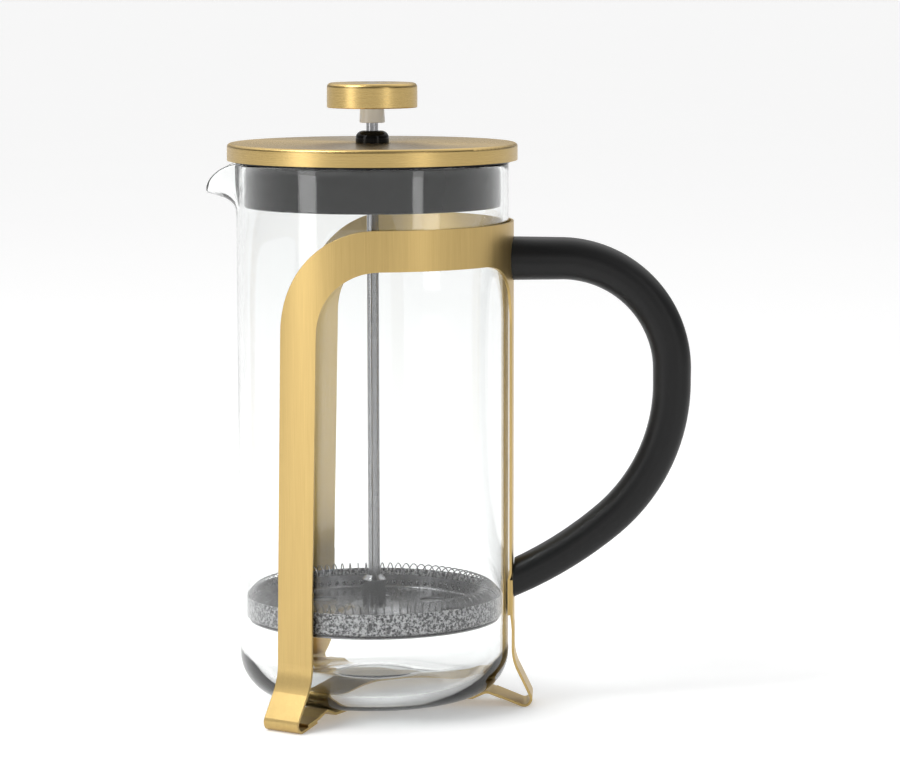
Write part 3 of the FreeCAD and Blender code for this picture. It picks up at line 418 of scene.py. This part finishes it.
def floor():
    """A wide pale floor."""
    reach = 60.0
    mesh = bpy.data.meshes.new("floor")
    corners = [(-reach, -reach, 0), (reach, -reach, 0), (reach, reach, 0), (-reach, reach, 0)]
    mesh.from_pydata(corners, [], [(0, 1, 2, 3)])
    plane = bpy.data.objects.new("floor", mesh)
    scene.collection.objects.link(plane)
    surface = Surface("pale_floor", Roughness=0.7)
    cloud = surface.noise(surface.place(), 3.0)
    surface.link(surface.tint(cloud, FLOOR_DARK, FLOOR_LIGHT), "Base Color")
    surface.shader.inputs["Emission Color"].default_value = (1.0, 1.0, 1.0, 1.0)
    surface.shader.inputs["Emission Strength"].default_value = FLOOR_GLOW
    dress(plane, surface.material)


def panel(name, place, width, height, power):
    """A soft light that faces the middle of the beaker."""
    light = bpy.data.lights.new(name, "AREA")
    light.shape = "RECTANGLE"
    light.size, light.size_y = width, height
    light.energy = power
    lamp = bpy.data.objects.new(name, light)
    lamp.location = place
    towards = Vector((0, 0, 0.1)) - Vector(place)
    lamp.rotation_euler = towards.to_track_quat("-Z", "Y").to_euler()
    scene.collection.objects.link(lamp)


def sky():
    """Soft light from all round: brightest overhead and behind, dim in front, with a pale horizon."""
    world = bpy.data.worlds.new("studio")
    world.use_nodes = True
    scene.world = world
    nodes, links = world.node_tree.nodes, world.node_tree.links

    def ramp(value, start, end, low, high):
        """Goes smoothly from low to high as value goes from start to end."""
        made = nodes.new("ShaderNodeMapRange")
        made.interpolation_type = "SMOOTHSTEP"
        links.new(value, made.inputs["Value"])
        for socket, number in zip(("From Min", "From Max", "To Min", "To Max"), (start, end, low, high)):
            made.inputs[socket].default_value = number
        return made.outputs["Result"]

    def maths(operation, *values):
        made = nodes.new("ShaderNodeMath")
        made.operation = operation
        for socket, value in zip(made.inputs, values):
            links.new(value, socket)
        return made.outputs[0]

    direction = nodes.new("ShaderNodeTexCoord").outputs["Generated"]
    split = nodes.new("ShaderNodeSeparateXYZ")
    links.new(direction, split.inputs[0])
    across, depth, height = split.outputs
    overhead = ramp(height, 0.15, 0.7, 0.3, 1.4)
    behind = ramp(depth, -0.5, 0.3, 0.2, 1.0)
    sides = ramp(maths("ABSOLUTE", across), 0.75, 0.97, 1.0, 0.35)
    shade = maths("MULTIPLY", behind, sides)
    horizon = ramp(height, 0.06, 0.13, 0.85, 0.0)
    background = nodes["Background"].inputs
    background["Color"].default_value = (1.0, 1.0, 1.0, 1.0)
    links.new(maths("MAXIMUM", horizon, maths("MULTIPLY", overhead, shade)), background["Strength"])


def camera():
    data = bpy.data.cameras.new("camera")
    data.sensor_width = 36.0
    data.lens = CAMERA_LENS
    data.clip_end = 200.0
    eye = bpy.data.objects.new("camera", data)
    scene.collection.objects.link(eye)
    place = Vector((
        CAMERA_DISTANCE * math.cos(CAMERA_AZIMUTH),
        CAMERA_DISTANCE * math.sin(CAMERA_AZIMUTH),
        CAMERA_HEIGHT,
    ))
    heading = CAMERA_AZIMUTH + math.pi / 2 - CAMERA_PAN
    turn = Matrix.Rotation(heading, 4, "Z")
    tilt = Matrix.Rotation(math.pi / 2 - CAMERA_TILT, 4, "X")
    roll = Matrix.Rotation(CAMERA_ROLL, 4, "Z")
    eye.matrix_world = Matrix.Translation(place) @ turn @ tilt @ roll
    scene.camera = eye


floor()
sky()
panel("key", (-0.7, -0.4, 1.2), 0.6, 0.6, 10.0)
panel("left", (-0.9, -0.7, 0.45), 0.35, 0.9, 2.6)
panel("right", (0.8, -0.9, 0.5), 0.2, 0.9, 1.4)
camera()
scene.view_settings.view_transform = "Standard"
scene.cycles.use_denoising = True
